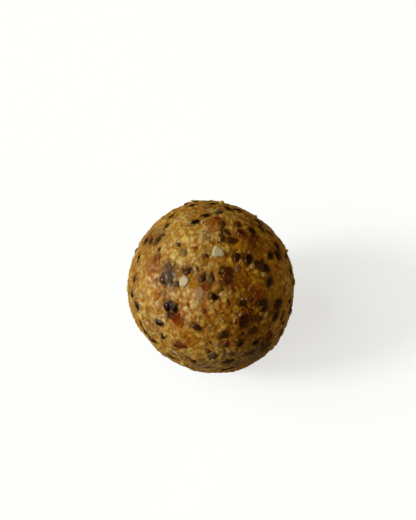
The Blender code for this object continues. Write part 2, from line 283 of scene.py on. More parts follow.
# Scraps too small for the frame, seen the same way
SEEN_SCRAPS = (
    (163, 235, 0, 0.8, 0.6, "wine"), (206, 256, 30, 1.0, 0.7, "wine"), (257.5, 237.5, 60, 0.9, 0.6, "red"),
    (253, 243, 0, 1.0, 0.7, "rust"), (204, 311, 80, 0.9, 0.5, "red"),
    (273.5, 319.5, 60, 0.9, 0.6, "maroon"), (283.3, 324, 60, 0.8, 0.5, "maroon"),
    (277, 267, 80, 0.9, 0.5, "rust"), (280.5, 279, 80, 1.4, 0.6, "rust"), (232, 285, 0, 1.0, 0.7, "rust"),
    (242, 334, 20, 1.0, 0.6, "wine"), (178, 345.5, 10, 2.0, 1.7, "maroon"),
    (177.5, 343, 0, 1.1, 1.0, "wine"), (208.3, 352, 80, 0.9, 0.6, "maroon"),
    (177, 231.5, 80, 1.6, 1.3, "honey"), (194, 209, 10, 1.0, 0.7, "rust"), (207, 239, 0, 1.4, 1.3, "mauve"),
    (196, 248, 0, 0.9, 0.7, "amber"), (225, 254, 60, 0.9, 0.7, "amber"),
    (189, 275.5, 0, 1.0, 0.8, "orange"), (193.5, 283.5, 40, 2.2, 1.8, "honey"),
    (178.5, 352.5, 10, 0.9, 0.6, "honey"), (294, 277, 80, 1.0, 0.5, "honey"),
    (163.5, 293.5, 0, 1.3, 1.1, "mauve"), (183.5, 318.5, -65, 2.2, 1.0, "mauve"),
    (168, 267, -70, 2.2, 1.6, "plum"), (169.5, 278, -80, 2.6, 1.9, "slate"),
    (198.5, 277.5, 70, 1.2, 0.8, "mauve"), (200, 294, 80, 2.2, 1.8, "rose"),
    (157, 279.5, 60, 1.1, 0.6, "rust"), (153, 271, 20, 1.1, 0.7, "rust"), (255, 360, 20, 3.0, 1.5, "plum"),
    (247, 353, 20, 2.0, 1.2, "plum"), (232, 353, 0, 2.2, 1.2, "slate"), (260, 345, 60, 1.4, 1.0, "slate"),
    (270, 327, 60, 1.2, 0.8, "plum"), (251.5, 299.5, 0, 0.9, 0.8, "wine"),
    (257, 318.5, 10, 2.6, 1.2, "maroon"), (170.5, 306, 80, 2.6, 2.3, "dark"),
    (206, 367, 0, 2.4, 1.1, "plum"), (285, 291, 80, 1.5, 0.8, "rust"), (262, 345, 20, 1.2, 0.8, "wine"),
    (222, 313, 40, 0.8, 0.5, "rust"), (176, 285, 20, 1.4, 1.0, "plum"),
)
FRUIT_COLOURS = {
    "red": (0.19, 0.020, 0.001),
    "garnet": (0.12, 0.006, 0.0004),
    "wine": (0.055, 0.003, 0.0006),
    "maroon": (0.11, 0.016, 0.004),
    "rust": (0.23, 0.050, 0.005),
    "amber": (0.29, 0.052, 0.0005),
    "orange": (0.48, 0.165, 0.003),
    "glow": (0.33, 0.070, 0.001),
    "honey": (0.45, 0.165, 0.004),
    "rose": (0.42, 0.22, 0.14),
    "mauve": (0.27, 0.12, 0.062),
    "plum": (0.100, 0.050, 0.033),
    "slate": (0.072, 0.056, 0.046),
    "dark": (0.020, 0.008, 0.003),
}

# The dull have no juice on them. The clear have a painted glow, as of light shining through them: lighter and
# yellower on the side away from the window.
DULL_FRUIT = ("mauve", "plum", "slate", "rose", "amber")
CLEAR_FRUIT = ("red", "garnet", "rust", "amber", "orange", "glow")
PAINTED_GLOW_WAY = Vector((0.75, -0.35, -0.55)).normalized()

# The soft run into the dough from this share of the way to their rim, and all others from FRUIT_FADE
SOFT_FRUIT = {
    "rust": 0.72, "orange": 0.5, "glow": 0.1, "honey": 0.1,
    "mauve": 0.3, "plum": 0.3, "slate": 0.35, "rose": 0.42,
}
FRUIT_FADE = 0.65
FRUIT_SHADES = (0.85, 1.15)

# Just past its rim every bit has the rim's colour, and paste smears it up to this share of its height. The
# rim is near the paste's own colour round soft bits, and stained with juice round the others.
FADED_OUT = 1.05
SMEARED_UP_TO = 0.6
SOFT_RIM = 0.92
WET_RIM = Vector((0.60, 0.40, 0.12))

SOFT_WET = 0.35
CLEAR_GLOW = 0.6
AMBER_GLOW = 1.3
PAINTED_GLOW_LIGHTENING = 0.50
PAINTED_GLOW_REACH = 0.45
LEAST_GREEN = 0.45
COMMON_FRUIT = ("red", "wine", "maroon", "rust", "amber", "orange", "maroon", "rust")
COMMON_SCRAPS = ("rust", "amber", "honey", "plum", "maroon", "orange", "mauve", "slate")
SCRAP_THICKNESS = 0.8 * MM
SCRAP_SHOWS = 0.07 * MM
SOFT_SCRAP_SHOWS = 0.03 * MM
FRUIT_PRESSED = 0.62
FRUIT_ROUGHNESS = 0.48
HIDDEN_SCRAPS = 44
SCRAP_LENGTH = (0.9, 1.9)
SCRAP_CLEARANCE = 0.07
JUICE_IOR = 1.45

fruit_draw = random.Random(11)
scrap_draw = random.Random(12)
taken = []
set_in = []


def long_axis(out, turn):
    """The direction along the skin that the photograph shows turned by this many degrees."""
    shown = in_view(turn)
    facing = max(out.dot(TO_CAMERA), LEAST_FACING)
    along = shown - TO_CAMERA * (shown.dot(out) / facing)
    return (along - out * along.dot(out)).normalized()


def any_way_along(out, draw):
    """A direction along the skin, drawn at random."""
    drawn = any_vector(draw)
    return (drawn - out * drawn.dot(out)).normalized()


def seen_bits(rows):
    """The direction, long axis and the rest of each row that starts with a pixel and a turn."""
    for x, y, turn, *rest in rows:
        out = seen_at(x, y)
        yield out, long_axis(out, turn), *rest


def hidden_bits(count, draw, clearance, taken, lengths, kinds):
    """Bits out of view: the direction, long axis, length and kind of each, the kinds in turn."""
    for number, out in enumerate(out_of_view(count, draw, clearance, taken)):
        length = draw.uniform(*lengths) * MM
        yield out, any_way_along(out, draw), length, kinds[number % len(kinds)]


def clamped(value):
    """The value, or the nearer of 0 and 1 where it is outside them."""
    return max(0.0, min(1.0, value))


def eased(value):
    """The value between 0 and 1, with a soft start and end."""
    value = clamped(value)
    return value * value * (3 - 2 * value)


def lump(into, detail, length, width, thickness, roughness, pressed, draw):
    """An uneven lump about the origin, flat above and below from this share of its height: its vertices."""
    made = bmesh.ops.create_icosphere(into, subdivisions=detail, radius=0.5)["verts"]
    offset = Vector((draw.uniform(0, 99), draw.uniform(0, 99), draw.uniform(0, 99)))
    for vertex in made:
        x, y = vertex.co.xy
        way = vertex.co * 2
        side = 1 + roughness * (uneven(way, 1.3, offset) + 0.5 * uneven(way, 3.1, offset))
        level = max(-pressed, min(pressed, way.z)) / pressed
        relief = 0.25 * roughness * uneven(way, 4.0, offset)
        vertex.co = (x * length * side, y * width * side, (level / 2 + relief) * thickness)
    return made


def press_in(into, vertices, out, along, thickness, shows):
    """Moves vertices made about the origin to the skin there, their top standing out by this much."""
    middle = CENTRE + out * (skin_radius(out) + shows - thickness / 2)
    turned = Matrix((along, out.cross(along), out)).transposed().to_4x4()
    bmesh.ops.transform(into, matrix=Matrix.Translation(middle) @ turned, verts=vertices)


def set_down(into, vertices, out, along, thickness, shows):
    """Presses a bit in, or deletes it where it would reach the floor. Says whether it is there."""
    press_in(into, vertices, out, along, thickness, shows)
    if min(vertex.co.z for vertex in vertices) < FLOOR_HEIGHT + LEAST_HEIGHT:
        bmesh.ops.delete(into, geom=vertices, context="VERTS")
        return False
    return True


def coloured_shape(name):
    """An empty shape whose vertices each hold a colour, which the material reads under this name."""
    shape = bmesh.new()
    shape.verts.layers.float_color.new(name)
    return shape


def smeared(vertex, out, shows):
    """How thickly paste covers a vertex of a piece that stands out by this much: 1 at the rim, 0 on top."""
    height = (vertex.co - CENTRE).length - skin_radius(out)
    clear = eased(height / (SMEARED_UP_TO * shows))
    wisps = uneven(vertex.co, 1500) + 0.6 * uneven(vertex.co, 4000)
    return clamped(1 - clear + 0.9 * wisps * (1 - 0.8 * clear))


def paint(into, vertices, colour, paste, out, along, length, width, shows, fade):
    """Gives vertices their piece's colour, which fades from this far out into the paste's at the rim."""
    layer = into.verts.layers.float_color[0]
    across = out.cross(along)
    for vertex in vertices:
        offset = vertex.co - CENTRE
        edge = 2 * math.hypot(offset.dot(along) / length, offset.dot(across) / width)
        ragged = 0.50 * uneven(vertex.co, 1300) + 0.25 * uneven(vertex.co, 3200)
        faded = eased((edge - fade) / (FADED_OUT - fade) + ragged)
        film = max(smeared(vertex, out, shows), faded)
        vertex[layer] = (*Vector(colour).lerp(paste, film), 1.0)


def finished(name, shape, material):
    """Turns a shape into a piece of the ball that stands for the frame's node."""
    mesh = bpy.data.meshes.new(name)
    shape.to_mesh(mesh)
    shape.free()
    mesh.shade_smooth()
    piece = bpy.data.objects.new(name, mesh)
    bpy.context.scene.collection.objects.link(piece)
    mesh.materials.append(material)
    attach(piece, "root")
    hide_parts("energy_ball")


class Wire:
    """What a shader node gives out. A sum of wires and numbers adds the Math nodes that work it out."""

    def __init__(self, finish, socket):
        self.finish = finish
        self.socket = socket

    def maths(self, operation, first, second):
        return self.finish.node("ShaderNodeMath", {"operation": operation}, {0: first, 1: second})

    def __add__(self, other):
        return self.maths("ADD", self, other)

    __radd__ = __add__

    def __sub__(self, other):
        return self.maths("SUBTRACT", self, other)

    def __rsub__(self, other):
        return self.maths("SUBTRACT", other, self)

    def __mul__(self, other):
        return self.maths("MULTIPLY", self, other)

    __rmul__ = __mul__


class Finish:
    """A material in the making, with the patterns that the ball's pieces share."""

    def __init__(self, name):
        self.material = bpy.data.materials.new(name)
        self.material.use_nodes = True
        self.tree = self.material.node_tree
        self.tree.nodes.clear()
        self.place = self.node("ShaderNodeTexCoord", {}, {}, "Object")

    def node(self, kind, settings, sockets, gives=0):
        """Adds a node: its settings first, then its sockets' values or wires. Gives one of its outputs."""
        made = self.tree.nodes.new(kind)
        for name, value in settings.items():
            setattr(made, name, value)
        for name, value in sockets.items():
            if isinstance(value, Wire):
                self.tree.links.new(value.socket, made.inputs[name])
            else:
                made.inputs[name].default_value = value
        return Wire(self, made.outputs[gives]) if made.outputs else None

    def own(self, name, gives="Fac"):
        """The piece's own attribute of this name."""
        return self.node("ShaderNodeAttribute", {"attribute_name": name}, {}, gives)

    def grain(self, per_metre, detail=2.0, roughness=0.5):
        """Soft random mottling, from 0 to 1, with this many spots a metre."""
        sockets = {"Vector": self.place, "Scale": per_metre, "Detail": detail, "Roughness": roughness}
        return self.node("ShaderNodeTexNoise", {}, sockets, "Fac")

    def step(self, value, start, end):
        """0 below start, 1 above end, smooth between them."""
        sockets = {"Value": value, "From Min": start, "From Max": end}
        return self.node("ShaderNodeMapRange", {"interpolation_type": "SMOOTHSTEP"}, sockets)

    def blend(self, mask, first, second, way="MIX"):
        """The first colour where the mask is 0, and the second, mixed in this way, where it is 1."""
        settings = {"data_type": "RGBA", "blend_type": way}
        colours = {}
        for index, colour in ((6, first), (7, second)):
            colours[index] = colour if isinstance(colour, Wire) else (*colour, 1.0)
        return self.node("ShaderNodeMix", settings, {0: mask, **colours}, 2)

    def bump(self, height, strength, distance):
        """The normal that this height gives, in metres at most the distance."""
        sockets = {"Height": height, "Strength": strength, "Distance": distance}
        return self.node("ShaderNodeBump", {}, sockets)

    def close(self, sockets, coat=None, depth=None):
        """Ends the material in one Principled BSDF. The coat is its weight and roughness. The depth is how
        much light goes under the skin, how far each of its colours goes, and over what distance."""
        if coat:
            sockets.update({"Coat Weight": coat[0], "Coat Roughness": coat[1], "Coat IOR": JUICE_IOR})
        if depth:
            sockets.update(zip(("Subsurface Weight", "Subsurface Radius", "Subsurface Scale"), depth))
        shader = self.node("ShaderNodeBsdfPrincipled", {}, sockets)
        self.node("ShaderNodeOutputMaterial", {}, {"Surface": shader})
        return self.material


def fruit_material():
    """Moist, gummy fruit: its own colour, with painted shade in the wrinkles and a painted glow on the side
    away from the window.
    """
    fruit = Finish("dried_fruit")
    flesh = fruit.own("fruit", "Color")
    wet = fruit.own("wet")
    flecks = fruit.grain(2600.0, 3.0)
    wrinkles = fruit.grain(1500.0, 2.0, 0.6)
    lit = fruit.blend(fruit.step(flecks, 0.5, 0.8) * 0.04, flesh, (0.50, 0.24, 0.05))
    # Painted shade: darker in the wrinkles
    deep = fruit.blend(fruit.step(wrinkles, 0.52, 0.32) * 0.35, lit, (0.45, 0.28, 0.2), "MULTIPLY")
    return fruit.close({
        "Base Color": deep,
        "Roughness": 0.5 + wrinkles * 0.2,
        "Specular IOR Level": 0.07,
        "Normal": fruit.bump(wrinkles + flecks * 0.3, 0.25, 0.12 * MM),
    }, coat=(wet * fruit.step(wrinkles, 0.35, 0.65), 0.12), depth=(0.3, (1.0, 0.25, 0.1), 0.5 * MM))


fruit_shape = coloured_shape("fruit")
fruit_wet = fruit_shape.verts.layers.float.new("wet")


def add_fruit(out, along, length, width, thickness, shows, colour):
    """One bit of fruit in the skin, remembered so that the dough can close round it."""
    bit = lump(fruit_shape, 4, length, width, thickness, FRUIT_ROUGHNESS, FRUIT_PRESSED, scrap_draw)
    if not set_down(fruit_shape, bit, out, along, thickness, shows):
        return
    soft = colour in SOFT_FRUIT
    flesh = Vector(FRUIT_COLOURS[colour]) * scrap_draw.uniform(*FRUIT_SHADES)
    rim = stained(out) * (SOFT_RIM if soft else WET_RIM)
    fade = SOFT_FRUIT.get(colour, FRUIT_FADE)
    paint(fruit_shape, bit, flesh, rim, out, along, length, width, shows, fade)
    layer = fruit_shape.verts.layers.float_color[0]
    glow = AMBER_GLOW if colour == "amber" else CLEAR_GLOW
    for vertex in bit:
        vertex[fruit_wet] = 0.0 if colour in DULL_FRUIT else SOFT_WET if soft else 1.0
        # Painted glow: the clear are lighter and yellower on the side away from the window
        if colour in CLEAR_FRUIT:
            aside = (vertex.co - CENTRE - out * BALL_RADIUS).dot(PAINTED_GLOW_WAY)
            glow_side = max(-1.0, min(1.0, aside / (PAINTED_GLOW_REACH * length)))
            red, green, blue, whole = vertex[layer]
            green *= max(LEAST_GREEN, 1 + glow * glow_side)
            vertex[layer] = (red * (1 + PAINTED_GLOW_LIGHTENING * glow_side), green, blue, whole)
    set_in.append((out, along, length / 2, width / 2, "soft" if soft else "fruit", FRUIT_COLOURS[colour]))


for out, along, length, width, colour in seen_bits(SEEN_FRUIT):
    add_fruit(out, along, length * MM, width * MM, FRUIT_THICKNESS, FRUIT_SHOWS, colour)
for out, along, length, colour in hidden_bits(
        HIDDEN_FRUIT, fruit_draw, BIT_CLEARANCE, taken, HIDDEN_BIT_LENGTH, COMMON_FRUIT):
    add_fruit(out, along, length, length * HIDDEN_BIT_WIDTH, FRUIT_THICKNESS, FRUIT_SHOWS, colour)
for out, along, length, width, colour in seen_bits(SEEN_SCRAPS):
    shows = SOFT_SCRAP_SHOWS if colour in SOFT_FRUIT else SCRAP_SHOWS
    add_fruit(out, along, length * MM, width * MM, SCRAP_THICKNESS, shows, colour)
for out, along, length, colour in hidden_bits(
        HIDDEN_SCRAPS, scrap_draw, SCRAP_CLEARANCE, list(taken), SCRAP_LENGTH, COMMON_SCRAPS):
    add_fruit(out, along, length, length * HIDDEN_BIT_WIDTH, SCRAP_THICKNESS, SCRAP_SHOWS, colour)
finished("dried_fruit", fruit_shape, fruit_material())


# Nut chips: almonds and cashews broken in the grinder, with flat broken faces and dull edges. They are the
# palest bits of the ball, waxy white to cream, and a little yellow where the dough has oiled them.
CHIP_THICKNESS = 1.1 * MM
HIDDEN_CHIP_SHOWS = 0.28 * MM
HIDDEN_CHIPS = 6

# How many broken faces each has, and how far from its middle they are for that many
CHIP_SIDES = {"cream": 3, "white": 6, "straw": 5, "olive": 4}
CHIP_REACH = {3: 0.29, 4: 0.38, 5: 0.40, 6: 0.42}

# Pixel across and down, turn, length, width and how far it stands out in millimetres, and colour
SEEN_CHIPS = (
    (217.7, 252, 95, 3.2, 3.3, 0.28, "cream"), (184.3, 281.5, 60, 2.8, 2.4, 0.26, "white"),
    (129.5, 288.5, 88, 2.2, 1.2, 0.42, "straw"), (294, 282, 88, 2.1, 0.9, 0.42, "olive"),
    (252.5, 266, 75, 1.6, 1.2, 0.22, "olive"), (264, 274.5, 20, 1.5, 1.4, 0.22, "olive"),
    (192.5, 202.3, 10, 1.2, 1.0, 0.45, "straw"), (221.5, 203.8, 0, 1.2, 0.9, 0.45, "straw"),
    (256, 215.7, 20, 1.0, 0.9, 0.42, "straw"), (288, 250.3, 80, 1.0, 0.8, 0.42, "straw"),
    (265.5, 314.5, 65, 1.8, 1.0, 0.24, "olive"), (141.5, 316, -60, 2.0, 1.1, 0.26, "straw"),
    (183, 364, -20, 1.4, 0.8, 0.26, "straw"), (274.5, 343, 65, 1.4, 0.8, 0.26, "olive"),
)
CHIP_COLOURS = {
    "white": (0.66, 0.57, 0.38),
    "cream": (0.64, 0.52, 0.33),
    "straw": (0.72, 0.51, 0.11),
    "olive": (0.42, 0.30, 0.11),
}
CHIP_ROUGHNESS = 0.20
CHIP_PRESSED = 0.80
FACE_LEAN = 0.25
FACE_CUT = 0.65
CHIP_FADE = {"white": 0.40, "cream": 0.55, "straw": 0.6, "olive": 0.3}
COMMON_CHIPS = ("cream", "white", "straw")

chip_draw = random.Random(21)
chip_form_draw = random.Random(22)
chip_shape = coloured_shape("nut")


def nut_chip(into, length, width, thickness, sides, draw):
    """A lump about the origin with a few flat broken faces: its vertices."""
    made = lump(into, 4, 1.0, 1.0, 1.0, CHIP_ROUGHNESS, CHIP_PRESSED, draw)
    first = draw.uniform(-0.1, 0.1)
    for side in range(sides):
        turn = first + math.pi + 2 * math.pi * (side + draw.uniform(-0.1, 0.1)) / sides
        face = Vector((math.cos(turn), math.sin(turn), FACE_LEAN)).normalized()
        reach = CHIP_REACH[sides] * draw.uniform(0.95, 1.1)
        for vertex in made:
            vertex.co -= face * FACE_CUT * max(0.0, vertex.co.dot(face) - reach)
    bmesh.ops.scale(into, vec=(length, width, thickness), verts=made)
    return made


def add_chip(out, along, length, width, shows, colour):
    """One nut chip in the skin, remembered so that the dough can close round it."""
    chip = nut_chip(chip_shape, length, width, CHIP_THICKNESS, CHIP_SIDES[colour], chip_form_draw)
    if not set_down(chip_shape, chip, out, along, CHIP_THICKNESS, shows):
        return
    fade = CHIP_FADE[colour]
    paint(chip_shape, chip, CHIP_COLOURS[colour], stained(out), out, along, length, width, shows, fade)
    set_in.append((out, along, length / 2, width / 2, "nut", CHIP_COLOURS[colour]))


for out, along, length, width, shows, colour in seen_bits(SEEN_CHIPS):
    add_chip(out, along, length * MM, width * MM, shows * MM, colour)
for out, along, length, colour in hidden_bits(
        HIDDEN_CHIPS, chip_draw, BIT_CLEARANCE, taken, HIDDEN_BIT_LENGTH, COMMON_CHIPS):
    add_chip(out, along, length, length * HIDDEN_BIT_WIDTH, HIDDEN_CHIP_SHOWS, colour)


def nut_material():
    """Waxy, slightly see-through nut with a fine grain and yellower oiled patches."""
    nut = Finish("nut_chip")
    flesh = nut.own("nut", "Color")
    oiled = nut.grain(900.0)
    grain = nut.grain(5200.0, 3.0)
    warm = nut.blend(nut.step(oiled, 0.45, 0.75) * 0.5, flesh, (0.95, 0.80, 0.50), "MULTIPLY")
    dusty = nut.blend(nut.step(grain, 0.45, 0.65) * 0.18, warm, (0.55, 0.42, 0.22))
    return nut.close({
        "Base Color": dusty,
        "Roughness": 0.38 + grain * 0.2,
        "Specular IOR Level": 0.30,
        "Normal": nut.bump(grain + oiled * 0.6, 0.35, 0.08 * MM),
    }, depth=(0.6, (1.0, 0.7, 0.4), 0.6 * MM))


finished("nut_chips", chip_shape, nut_material())


# Chia seeds: whole seeds, 2 mm long, that swelled a little in the damp dough. They lie flat in the skin,
# half sunk by the palms, smooth and shining, dark brown to slate grey with a fine marbling.
SEED_SIZE = (2.2 * MM, 1.5 * MM, 1.0 * MM)
SEED_SIZE_SPREAD = (0.9, 1.08)
SEED_SHOWS = (0.10 * MM, 0.30 * MM)
SEED_SIDES = 10
SEED_RINGS = 8
SEED_POINT = 0.16
HIDDEN_SEEDS = 104
SEED_CLEARANCE = 0.085
COVERED_TONE = 0.9
COVERED_RIM = Vector((0.53, 0.50, 0.48))
SEED_RIM = (0.08, 0.022, 0.002)
COVERED_BLUE = Vector((0, 0, 0.008))
SEED_STAIN = (0.03, 0.02, 0.012)
DARK_SEEDS = 1.8

# From the top down: pixel across and down, turn, how far it stands out in millimetres, and its tone, from
# 0, black, through brown to 1, slate grey. Paste covers those of about 1 and above.
SEEN_SEEDS = (
    (171.5, 216, 45, 0.1, 0.35), (166.5, 225.5, 65, 0.1, 0.45), (187, 206, 40, 0.14, 0.1),
    (193.5, 206, 8, 0.18, 0.1), (204.5, 202, -4, 0.12, 0.1), (195, 222, 25, 0.24, 0.05),
    (206, 214.5, 12, 0.18, 0.25), (218.5, 212, 20, 0.12, 0.85), (213.5, 204.5, -10, 0.16, 0.2),
    (228.5, 208, -25, 0.18, 0.1), (239, 210, -30, 0.18, 0.1), (222.5, 223, 80, 0.12, 0.5),
    (238.5, 224, 80, 0.14, 0.38), (259, 221, -50, 0.18, 0.1), (262, 227.5, -60, 0.16, 0.6),
    (252.5, 231.5, -75, 0.2, 0.05), (270.5, 233, -45, 0.1, 0.65), (145.5, 240, 80, 0.14, 0.0),
    (150.5, 241, 75, 0.1, 0.3), (157.5, 240, 60, 0.16, 0.55), (159.5, 250, -65, 0.06, 0.6),
    (138, 257.5, 75, 0.15, 0.4), (178.5, 243.5, 80, 0.06, 0.35), (184, 252.5, 80, 0.05, 1.04),
    (226.5, 231.5, -40, 0.12, 0.5), (222.5, 238, 80, 0.12, 0.5), (231.5, 239.5, 0, 0.24, 0.5),
    (237.5, 256.5, 75, 0.22, 0.3), (248.5, 259, 85, 0.3, 0.0), (277.5, 246.5, -75, 0.16, 0.25),
    (271.5, 255, 80, 0.14, 0.2), (278.5, 255.5, -35, 0.26, 0.1), (287.5, 256.5, -75, 0.12, 0.1),
    (262.5, 263, 80, 0.1, 0.45), (257, 264, -60, 0.12, 0.42), (267, 268.5, -65, 0.16, 0.05),
    (270, 281.5, 70, 0.15, 0.1), (135, 278.5, 60, 0.14, 0.45), (132, 293.5, 82, 0.12, 0.2),
    (136.5, 306, -75, 0.16, 0.0), (162.5, 278.5, 82, 0.13, 0.5), (177.5, 283.5, 15, 0.1, 0.36),
    (188.5, 271.5, 33, 0.13, 0.35), (203, 278.5, 62, 0.14, 0.35), (210, 279, -50, 0.24, 1.02),
    (227, 270.5, -5, 0.26, 0.5), (238.5, 268, 85, 0.11, 1.0), (291.5, 273, -70, 0.12, 0.1),
    (291.5, 300, 85, 0.12, 0.1), (292, 310, 66, 0.3, 0.0), (168, 307.5, -70, 0.28, 0.1),
    (174.5, 307.5, 80, 0.2, 0.1), (215, 297.2, -15, 0.18, 0.2), (242.5, 303, 0, 0.12, 0.3),
    (262, 303, 12, 0.24, 0.3), (264.5, 308.5, 35, 0.12, 0.05), (279, 303, 30, 0.26, 0.0),
    (276.5, 315, 75, 0.24, 0.0), (283, 316.5, 60, 0.13, 0.0), (281, 333, 60, 0.1, 0.5),
    (141, 326, -60, 0.12, 0.2), (145.5, 332.5, -50, 0.12, 0.2), (159.5, 323, -12, 0.16, 0.1),
    (152, 340.5, -35, 0.24, 0.4), (162.5, 337, 80, 0.1, 0.3), (197, 327.5, -20, 0.26, 0.38),
    (224.5, 335.5, 10, 0.22, 0.38), (252.5, 331, 20, 0.12, 0.4), (240, 343, 80, 0.1, 0.0),
    (256.5, 342, 65, 0.14, 0.0), (266, 346, 50, 0.2, 0.8), (171, 357.5, -35, 0.14, 0.7),
    (193.5, 361.5, 70, 0.1, 0.45), (213.5, 356, 80, 0.14, 0.85), (232.5, 354, 0, 0.1, 0.88),
    (251, 352, 20, 0.1, 0.5), (228.5, 361, 20, 0.2, 0.3), (231.5, 367, 15, 0.14, 0.1),
    (223, 369.5, -5, 0.14, 0.4),
)

seed_draw = random.Random(31)
tone_draw = random.Random(32)
seed_shape = bmesh.new()
seed_tone = seed_shape.verts.layers.float.new("tone")
seed_film = seed_shape.verts.layers.float.new("film")
seed_paste = seed_shape.verts.layers.float_color.new("paste")


def chia_seed(into, length, width, thickness):
    """A flattened oval about the origin, a little pointed at one end: its vertices."""
    made = bmesh.ops.create_uvsphere(into, u_segments=SEED_SIDES, v_segments=SEED_RINGS, radius=0.5)
    for vertex in made["verts"]:
        side, top, end = vertex.co
        taper = 1 - SEED_POINT * 2 * end
        vertex.co = (end * length, side * width * taper, top * thickness * taper)
    return made["verts"]


def add_seed(out, along, shows, tone):
    """One chia seed in the skin, remembered so that the dough can close round it."""
    size = seed_draw.uniform(*SEED_SIZE_SPREAD)
    length, width, thickness = (side * size for side in SEED_SIZE)
    seed = chia_seed(seed_shape, length, width, thickness)
    if not set_down(seed_shape, seed, out, along, thickness, shows):
        return
    if tone > COVERED_TONE:
        covered = stained(out) * COVERED_RIM + COVERED_BLUE
    else:
        covered = stained(out).lerp(SEED_RIM, 0.7)
    for vertex in seed:
        vertex[seed_tone] = tone
        vertex[seed_film] = max(smeared(vertex, out, shows), 5 * (tone - 0.75))
        vertex[seed_paste] = (*covered, 1.0)
    footprint = math.sqrt(1 - (1 - 2 * shows / thickness) ** 2)
    kind = "soft" if tone > COVERED_TONE else "seed"
    set_in.append((out, along, length / 2 * footprint, width / 2 * footprint, kind, SEED_STAIN))


for out, along, shows, tone in seen_bits(SEEN_SEEDS):
    add_seed(out, along, shows * MM, tone)
for out in out_of_view(HIDDEN_SEEDS, seed_draw, SEED_CLEARANCE, taken):
    along = any_way_along(out, seed_draw)
    add_seed(out, along, seed_draw.uniform(*SEED_SHOWS), tone_draw.random() ** DARK_SEEDS)


def seed_material():
    """A glossy seed skin, marbled in dark brown and grey, more grey where the seed's own tone is high."""
    seed = Finish("chia_seed")
    tone = seed.own("tone")
    marbling = seed.grain(3600.0, 3.0, 0.6)
    veins = seed.grain(1700.0, 1.0)
    grey = tone * tone * tone
    brown = seed.step(tone, 0.15, 0.50) * seed.step(tone, 0.8, 0.5)
    dark = seed.blend(grey, (0.011, 0.0009, 0.0001), (0.085, 0.072, 0.045))
    pale = seed.blend(grey, (0.028, 0.0055, 0.0004), (0.20, 0.170, 0.110))
    greyed = seed.blend(seed.step(marbling + veins * 0.5, 0.70, 1.0), dark, pale)
    marbled = seed.blend(brown * 0.70, greyed, (0.098, 0.026, 0.0005))
    smear = seed.own("film")
    film = seed.step(smear + marbling * 0.3 - 0.15, 0.35, 1.0) * 0.6 + seed.step(smear, 1, 1.5) * 0.25
    smeared_seed = seed.blend(film, marbled, seed.own("paste", "Color"))
    return seed.close({
        "Base Color": smeared_seed,
        "Roughness": 0.07 + marbling * 0.08 + film * 0.35,
        "Specular IOR Level": 0.22,
        "Normal": seed.bump(marbling, 0.12, 0.04 * MM),
    })


finished("chia_seeds", seed_shape, seed_material())


# Crumbs of rolled oats and ground nuts: soft grains, half a millimetre to a millimetre across, pressed into
# the paste all over. They are paler than the paste, and each takes its colour from the stain it lies in.
CRUMB_COUNT = 520
CRUMB_SCATTER = 0.04
CRUMB_SIZE = (0.55 * MM, 1.30 * MM)
CRUMB_SHOWS = (0.03 * MM, 0.13 * MM)

# Length and thickness as shares of the width
CRUMB_LENGTH = 1.4
CRUMB_THICKNESS = 0.7
CRUMB_ROUGHNESS = 0.75
CRUMB_PRESSED = 0.97
CRUMB_FADE = 0.35
CRUMB_RIM = 0.85
MOST_CRUMB_PALENESS = 0.7
PALE_GRAIN = (0.80, 0.55, 0.185)

# Where the grains lie thick and where the paste is smooth: pixel, reach in pixels, how much more or less
SEEN_KNOTS = (
    (185, 218, 8, 0.5), (192, 235, 10, 0.6), (186, 252, 10, 0.6), (205, 240, 8, 0.5), (207, 258, 8, 0.4),
    (215, 238, 6, 0.4), (175, 250, 8, 0.4), (200, 265, 8, 0.5), (218, 262, 6, 0.3), (182, 300, 14, 0.3),
    (196, 312, 10, 0.3), (175, 335, 10, 0.4), (160, 310, 12, 0.3), (150, 285, 12, 0.2), (143, 300, 8, 0.2),
    (225, 325, 8, 0.3), (215, 312, 8, 0.3), (257, 268, 7, 0.4), (214, 222, 8, -0.6), (250, 245, 10, -0.5),
    (225, 285, 12, -0.4), (262, 295, 12, -0.6), (244, 305, 8, -0.4), (250, 335, 12, -0.5),
    (160, 238, 10, -0.5), (150, 265, 10, -0.5), (170, 275, 8, -0.6), (247, 288, 12, -0.4),
    (266, 280, 9, -0.4), (255, 350, 14, -0.6), (278, 300, 12, -0.4), (205, 290, 7, -0.5),
    (240, 272, 7, -0.4), (188, 272, 7, -0.4), (232, 300, 8, -0.3), (186, 343, 8, -0.4),
)
knots = [(seen_at(x, y), reach * PIXEL, more) for x, y, reach, more in SEEN_KNOTS]

bit_tree = search_tree([bit[0] * BALL_RADIUS for bit in set_in])
BIT_REACH = 2.6 * MM
CLEAR_OF_BITS = 1.1


def nearest_bit(out):
    """How far out of the nearest bit, 0 at its middle and 1 at its edge, and its kind and colour."""
    nearest = (9.0, None, None)
    for place, number, away in bit_tree.find_range(out * BALL_RADIUS, BIT_REACH):
        middle, along, half_length, half_width, kind, colour = set_in[number]
        offset = (out - middle) * BALL_RADIUS
        aside = offset.dot(middle.cross(along)) / half_width
        distance = math.hypot(offset.dot(along) / half_length, aside)
        if distance < nearest[0]:
            nearest = (distance, kind, colour)
    return nearest


def bare(out):
    """Whether the skin there is clear of the bits and of the floor."""
    return nearest_bit(out)[0] > CLEAR_OF_BITS and CENTRE.z + out.z * BALL_RADIUS > LEAST_HEIGHT


def join(into, small):
    """Adds a small shape to a large one."""
    mesh = bpy.data.meshes.new("small")
    small.to_mesh(mesh)
    small.free()
    into.from_mesh(mesh)
    bpy.data.meshes.remove(mesh)


def richness(out):
    """How thick the pale grains lie in the paste there, from 0 to 1: they gather in knots and veins."""
    rich = 0.45 + 0.45 * uneven(out, 6.5, (4, 2, 8)) + 0.55 * uneven(out, 14.0) + 0.4 * uneven(out, 30.0)
    wandered = out + noise.noise_vector(out * 15.0) * 0.05
    for middle, reach, more in knots:
        away = (wandered - middle).length / reach
        if away < 2.2:
            rich += more * math.exp(-away * away)
    return clamped(rich)


